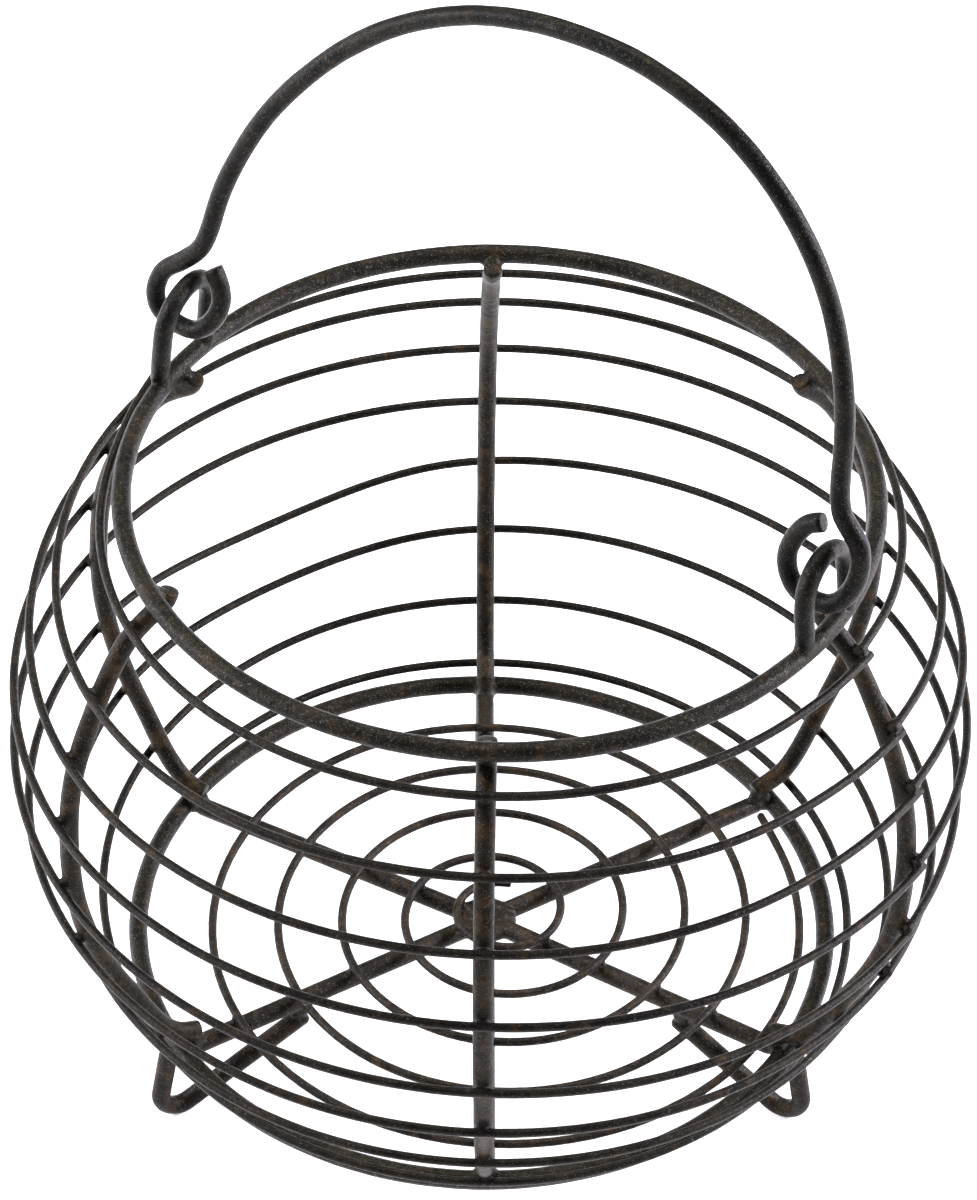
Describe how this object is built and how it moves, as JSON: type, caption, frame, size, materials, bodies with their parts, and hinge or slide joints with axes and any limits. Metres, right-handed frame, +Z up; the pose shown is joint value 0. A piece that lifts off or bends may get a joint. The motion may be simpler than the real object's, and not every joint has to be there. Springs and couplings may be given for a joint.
{
  "type": "onion basket",
  "caption": "Round swelling wire basket with an open mouth, spiral wire floor, bent wire feet and a swinging arched handle hooked into ears on its rim.",
  "frame": {"origin": "on the floor, under the middle of the basket's bounding box, which is the axis of its rim", "axes": "+Z up; the front of the basket faces -Y, as the picture shows it; the handle's hinge axis runs 31 degrees from +X towards -Y"},
  "size_m": [0.248, 0.2532, 0.3069],
  "materials": {
    "ring_steel": "dark antiqued coat, speckled",
    "rib_steel": "dark antiqued coat with rust-brown patina",
    "hoop_steel": "dark antiqued coat, speckled",
    "floor_steel": "dark antiqued coat, dull",
    "foot_steel": "dark antiqued coat, worn",
    "handle_steel": "dark antiqued coat, smoother"
  },
  "bodies": {
    "basket": {"rim": "ring_steel", "base_ring": "ring_steel", "rib_front_right": "rib_steel", "rib_back_right": "rib_steel", "rib_back": "rib_steel", "rib_back_left": "rib_steel", "rib_front_left": "rib_steel", "rib_front": "rib_steel", "hoop_1": "hoop_steel", "hoop_2": "hoop_steel", "hoop_3": "hoop_steel", "hoop_4": "hoop_steel", "hoop_5": "hoop_steel", "hoop_6": "hoop_steel", "hoop_7": "hoop_steel", "hoop_8": "hoop_steel", "hoop_9": "hoop_steel", "spoke_through": "floor_steel", "spoke_front_right": "floor_steel", "spoke_back_right": "floor_steel", "spoke_back_left": "floor_steel", "spoke_front_left": "floor_steel", "base_spiral": "floor_steel", "foot_front_right": "foot_steel", "foot_back": "foot_steel", "foot_front_left": "foot_steel", "ear_right": "handle_steel", "ear_left": "handle_steel"},
    "handle": {"handle": "handle_steel"}
  },
  "joints": [
    {"name": "handle_swing", "type": "hinge", "parent": "basket", "child": "handle", "pos_m": [-0.00105, -0.00186, 0.1903], "axis": [0.8563, -0.5165, 0], "range_deg": [-84, 111]}
  ]
}
